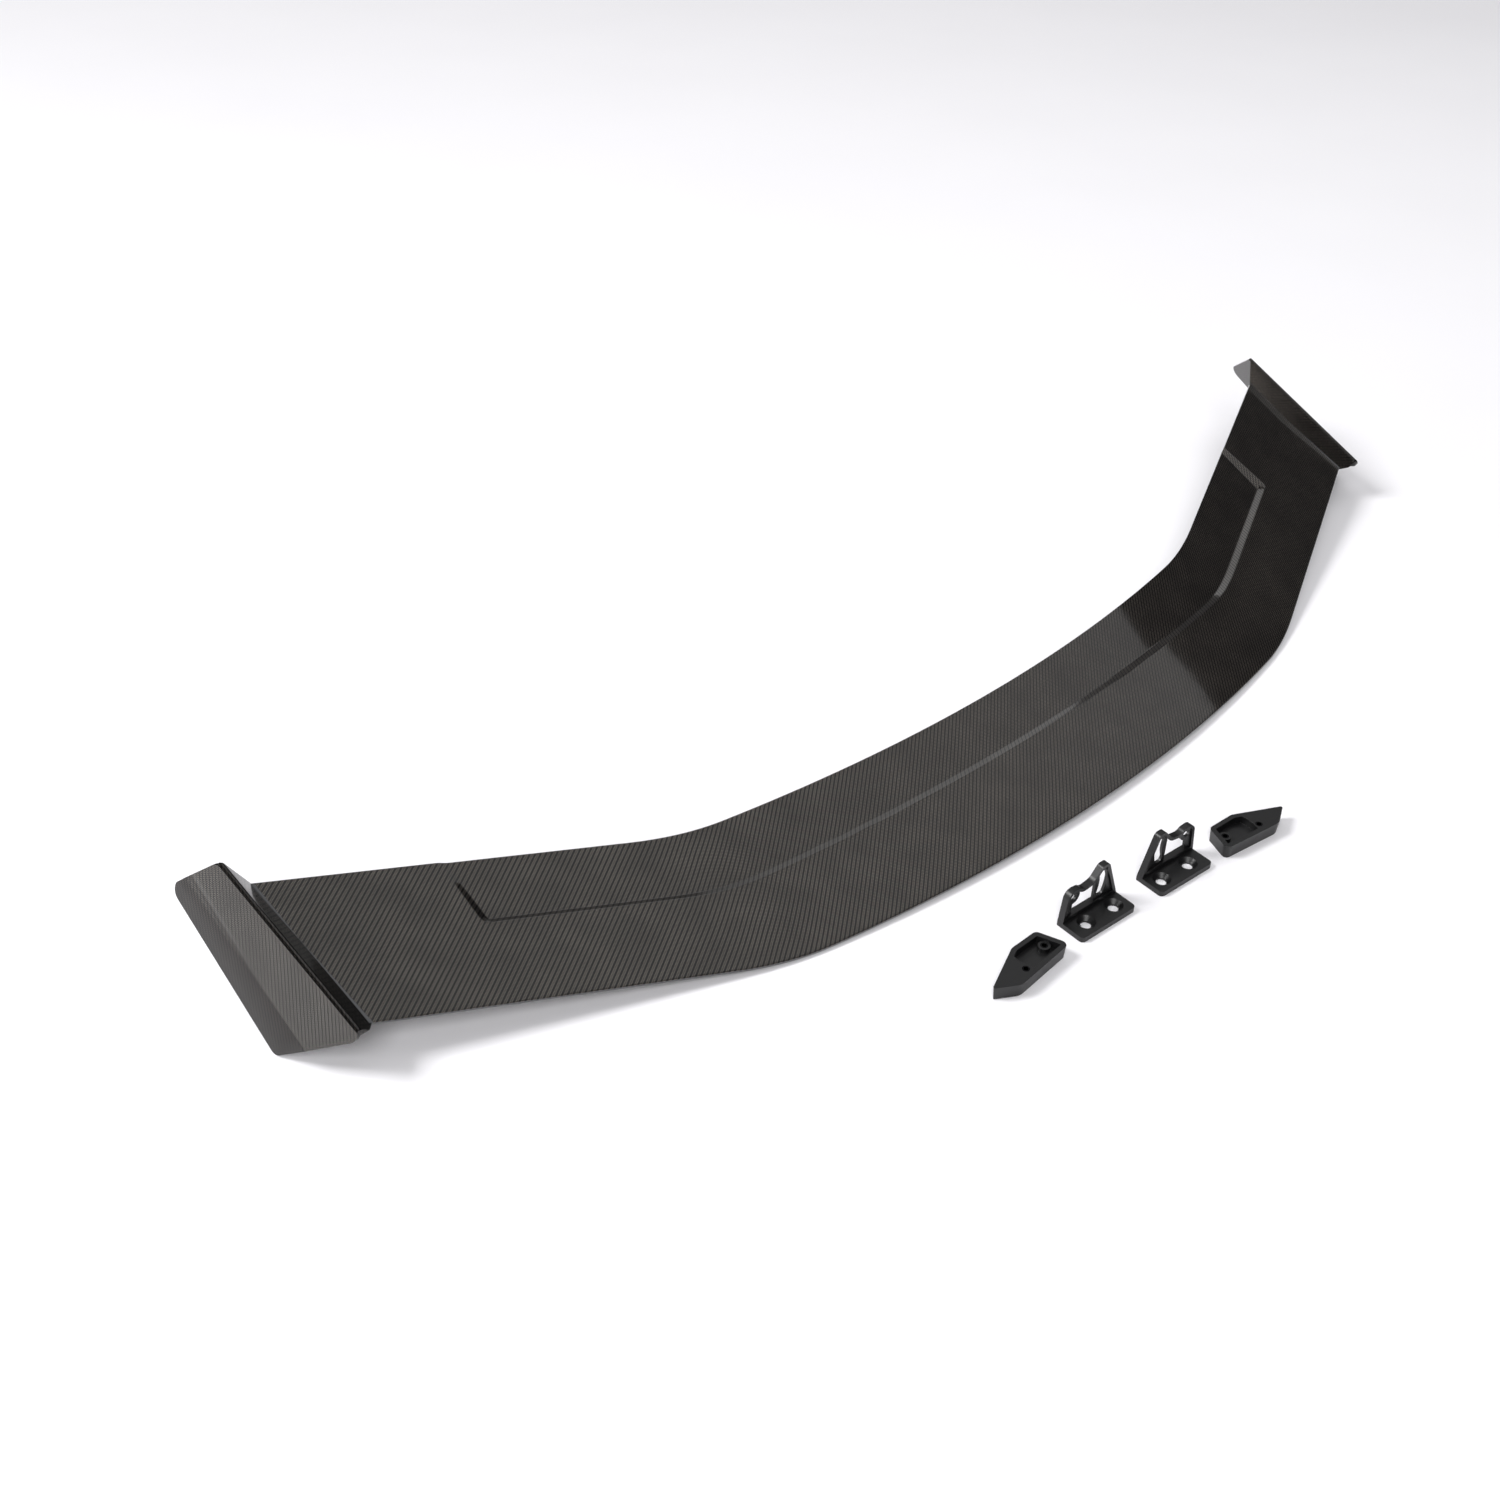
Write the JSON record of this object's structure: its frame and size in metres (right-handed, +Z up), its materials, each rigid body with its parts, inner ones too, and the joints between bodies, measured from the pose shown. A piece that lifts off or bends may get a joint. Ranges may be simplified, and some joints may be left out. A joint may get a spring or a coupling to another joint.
{
  "type": "racing rear wing",
  "caption": "Bowed carbon fibre rear wing with swept ends, folded end plates, and its loose slotted mounting brackets and covers laid out in front",
  "frame": {"origin": "centre of the whole layout's bounding box, on the floor it lies on", "axes": "+X along the span to the right end, +Y towards the wing's leading edge, +Z up; the loose pieces lie on the -Y side"},
  "size_m": [1.3838, 0.4871, 0.1111],
  "materials": {
    "carbon": "twill carbon fibre in clear gloss resin",
    "adhesive": "cured structural resin",
    "foam": "closed-cell foam, sawn",
    "block": "machined laminate",
    "insert": "turned and tapped",
    "dark_insert": "turned, tapped and blackened",
    "moulded": "satin black, moulded"
  },
  "bodies": {
    "wing": {"upper_skin": "carbon", "lower_skin": "carbon", "trailing_edge_bond": "adhesive", "leading_edge_bond": "adhesive", "foam_core_centre": "foam", "foam_core_left": "foam", "foam_core_right": "foam", "mounting_block_left": "block", "mounting_block_right": "block", "threaded_inserts_left": "insert", "threaded_inserts_right": "insert", "closing_rib_left": "adhesive", "closing_rib_right": "adhesive", "end_plate_left": "carbon", "end_plate_right": "carbon"},
    "bracket_left": {"bracket_left": "moulded"},
    "bracket_right": {"bracket_right": "moulded"},
    "cover_left": {"bracket_cover_left": "moulded", "cover_inserts_left": "dark_insert"},
    "cover_right": {"bracket_cover_right": "moulded", "cover_inserts_right": "dark_insert"}
  },
  "joints": [
    {"name": "bracket_left_lift", "type": "slide", "parent": "wing", "child": "bracket_left", "axis": [0, 0, 1], "range_m": [0, 0.2]},
    {"name": "bracket_right_lift", "type": "slide", "parent": "wing", "child": "bracket_right", "axis": [0, 0, 1], "range_m": [0, 0.2]},
    {"name": "cover_left_lift", "type": "slide", "parent": "wing", "child": "cover_left", "axis": [0, 0, 1], "range_m": [0, 0.2]},
    {"name": "cover_right_lift", "type": "slide", "parent": "wing", "child": "cover_right", "axis": [0, 0, 1], "range_m": [0, 0.2]}
  ]
}
